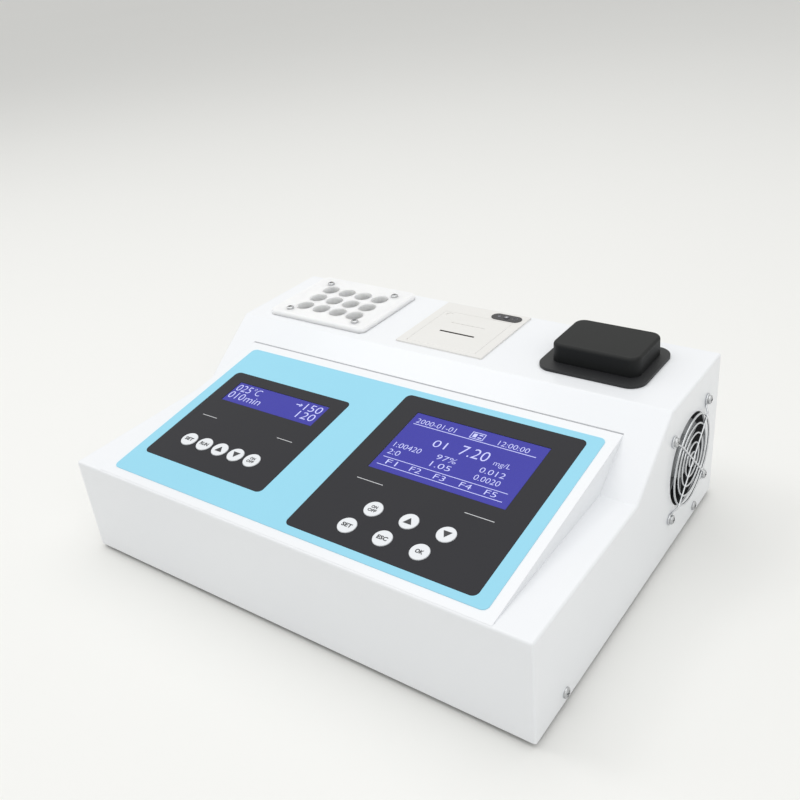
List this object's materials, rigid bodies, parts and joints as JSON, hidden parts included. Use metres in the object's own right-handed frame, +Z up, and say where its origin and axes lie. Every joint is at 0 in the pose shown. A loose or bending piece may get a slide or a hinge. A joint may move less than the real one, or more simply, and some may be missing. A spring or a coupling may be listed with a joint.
{
  "type": "bench water quality analyzer",
  "caption": "Bench water analyzer: white steel casing with a sloping keypad console, a block digester for vials, a panel printer and a photometer under a black hinged lid.",
  "frame": {"origin": "on the bench, under the middle of the casing", "axes": "+X to the right along the casing's front, +Y from the front to the rear, +Z up"},
  "size_m": [0.437, 0.3248, 0.1535],
  "materials": {
    "casing_white": "gloss",
    "tray_steel": "matt",
    "screw_steel": "satin",
    "foot_rubber": "matt",
    "overlay_blue": "satin",
    "film_grey": "satin",
    "display_blue": "gloss",
    "key_white": "satin",
    "board_green": "satin",
    "plate_white": "matt",
    "block_aluminium": "milled",
    "heater_red": "matt",
    "jacket_fibre": "matt",
    "lid_black": "matt",
    "seal_foam": "matt",
    "holder_black": "black anodised",
    "printer_grey": "satin",
    "pod_dark": "gloss",
    "button_grey": "satin",
    "mechanism_steel": "satin",
    "platen_rubber": "matt",
    "paper_white": "matt",
    "fan_black": "satin",
    "guard_chrome": "bright",
    "inlet_black": "satin",
    "port_steel": "satin",
    "supply_grey": "satin",
    "relay_cream": "satin"
  },
  "bodies": {
    "casing": {"hood": "casing_white", "console_cover": "casing_white", "rear_panel": "casing_white", "base_tray": "tray_steel", "block_stand": "tray_steel", "casing_screws": "screw_steel", "plate_screws": "screw_steel", "fan_screws": "screw_steel", "lid_hinge_pin": "screw_steel", "door_hinge_pin": "screw_steel", "block_sensor": "screw_steel", "rubber_feet": "foot_rubber", "panel_overlay": "overlay_blue", "digester_keypad": "film_grey", "meter_keypad": "film_grey", "digester_display": "display_blue", "meter_display": "display_blue", "digester_key_board": "board_green", "meter_key_board": "board_green", "lamp_board": "board_green", "detector_board": "board_green", "main_board": "board_green", "digestion_plate": "plate_white", "heating_block": "block_aluminium", "heater_pad": "heater_red", "insulation_jacket": "jacket_fibre", "cuvette_seat": "lid_black", "light_seal": "seal_foam", "cuvette_holder": "holder_black", "printer_bezel": "printer_grey", "printer_pod": "pod_dark", "printer_mechanism": "mechanism_steel", "fan_frame": "fan_black", "fan_guard": "guard_chrome", "power_inlet": "inlet_black", "switch_frame": "inlet_black", "data_port": "port_steel", "power_supply": "supply_grey", "heater_relay": "relay_cream"},
    "lid": {"cuvette_lid": "lid_black"},
    "printer_door": {"printer_door": "printer_grey"},
    "platen": {"platen_roller": "platen_rubber"},
    "paper": {"paper_roll": "paper_white"},
    "feed_button": {"feed_button": "button_grey"},
    "fan": {"fan_rotor": "fan_black"},
    "rocker": {"power_rocker": "inlet_black"},
    "fuse_drawer": {"fuse_drawer": "inlet_black"},
    "digester_key_1": {"digester_key_1": "key_white"},
    "digester_key_2": {"digester_key_2": "key_white"},
    "digester_key_3": {"digester_key_3": "key_white"},
    "digester_key_4": {"digester_key_4": "key_white"},
    "digester_key_5": {"digester_key_5": "key_white"},
    "meter_key_1": {"meter_key_1": "key_white"},
    "meter_key_2": {"meter_key_2": "key_white"},
    "meter_key_3": {"meter_key_3": "key_white"},
    "meter_key_4": {"meter_key_4": "key_white"},
    "meter_key_5": {"meter_key_5": "key_white"},
    "meter_key_6": {"meter_key_6": "key_white"}
  },
  "joints": [
    {"name": "lid_hinge", "type": "hinge", "parent": "casing", "child": "lid", "pos_m": [0.137, 0.144, 0.1403], "axis": [-1, 0, 0], "range_deg": [0, 100]},
    {"name": "printer_door_hinge", "type": "hinge", "parent": "casing", "child": "printer_door", "pos_m": [0.0015, 0.0752, 0.1345], "axis": [1, 0, 0], "range_deg": [0, 90]},
    {"name": "paper_roll_spin", "type": "hinge", "parent": "casing", "child": "paper", "pos_m": [0.0015, 0.127, 0.1005], "axis": [1, 0, 0], "continuous": true},
    {"name": "platen_spin", "type": "hinge", "parent": "casing", "child": "platen", "pos_m": [0.0015, 0.097, 0.1255], "axis": [1, 0, 0], "continuous": true},
    {"name": "feed_button_press", "type": "slide", "parent": "casing", "child": "feed_button", "axis": [0, 0, -1], "range_m": [0, 0.0005], "stiffness_N_per_m": 200, "springref_m": -0.0005},
    {"name": "fan_spin", "type": "hinge", "parent": "casing", "child": "fan", "pos_m": [0.201, 0.0975, 0.071], "axis": [1, 0, 0], "continuous": true},
    {"name": "power_rocker_tilt", "type": "hinge", "parent": "casing", "child": "rocker", "pos_m": [0.034, 0.155, 0.04], "axis": [-1, 0, 0], "range_deg": [0, 20]},
    {"name": "fuse_drawer_slide", "type": "slide", "parent": "casing", "child": "fuse_drawer", "axis": [0, 1, 0], "range_m": [0, 0.015]},
    {"name": "digester_key_1_press", "type": "slide", "parent": "casing", "child": "digester_key_1", "axis": [0, 0.1465, -0.9892], "range_m": [0, 0.0004], "stiffness_N_per_m": 200, "springref_m": -0.0005},
    {"name": "digester_key_2_press", "type": "slide", "parent": "casing", "child": "digester_key_2", "axis": [0, 0.1465, -0.9892], "range_m": [0, 0.0004], "stiffness_N_per_m": 200, "springref_m": -0.0005},
    {"name": "digester_key_3_press", "type": "slide", "parent": "casing", "child": "digester_key_3", "axis": [0, 0.1465, -0.9892], "range_m": [0, 0.0004], "stiffness_N_per_m": 200, "springref_m": -0.0005},
    {"name": "digester_key_4_press", "type": "slide", "parent": "casing", "child": "digester_key_4", "axis": [0, 0.1465, -0.9892], "range_m": [0, 0.0004], "stiffness_N_per_m": 200, "springref_m": -0.0005},
    {"name": "digester_key_5_press", "type": "slide", "parent": "casing", "child": "digester_key_5", "axis": [0, 0.1465, -0.9892], "range_m": [0, 0.0004], "stiffness_N_per_m": 200, "springref_m": -0.0005},
    {"name": "meter_key_1_press", "type": "slide", "parent": "casing", "child": "meter_key_1", "axis": [0, 0.1465, -0.9892], "range_m": [0, 0.0004], "stiffness_N_per_m": 200, "springref_m": -0.0005},
    {"name": "meter_key_2_press", "type": "slide", "parent": "casing", "child": "meter_key_2", "axis": [0, 0.1465, -0.9892], "range_m": [0, 0.0004], "stiffness_N_per_m": 200, "springref_m": -0.0005},
    {"name": "meter_key_3_press", "type": "slide", "parent": "casing", "child": "meter_key_3", "axis": [0, 0.1465, -0.9892], "range_m": [0, 0.0004], "stiffness_N_per_m": 200, "springref_m": -0.0005},
    {"name": "meter_key_4_press", "type": "slide", "parent": "casing", "child": "meter_key_4", "axis": [0, 0.1465, -0.9892], "range_m": [0, 0.0004], "stiffness_N_per_m": 200, "springref_m": -0.0005},
    {"name": "meter_key_5_press", "type": "slide", "parent": "casing", "child": "meter_key_5", "axis": [0, 0.1465, -0.9892], "range_m": [0, 0.0004], "stiffness_N_per_m": 200, "springref_m": -0.0005},
    {"name": "meter_key_6_press", "type": "slide", "parent": "casing", "child": "meter_key_6", "axis": [0, 0.1465, -0.9892], "range_m": [0, 0.0004], "stiffness_N_per_m": 200, "springref_m": -0.0005}
  ],
  "couplings": [
    {"joint": "platen_spin", "follows": "paper_roll_spin", "ratio": -4}
  ]
}
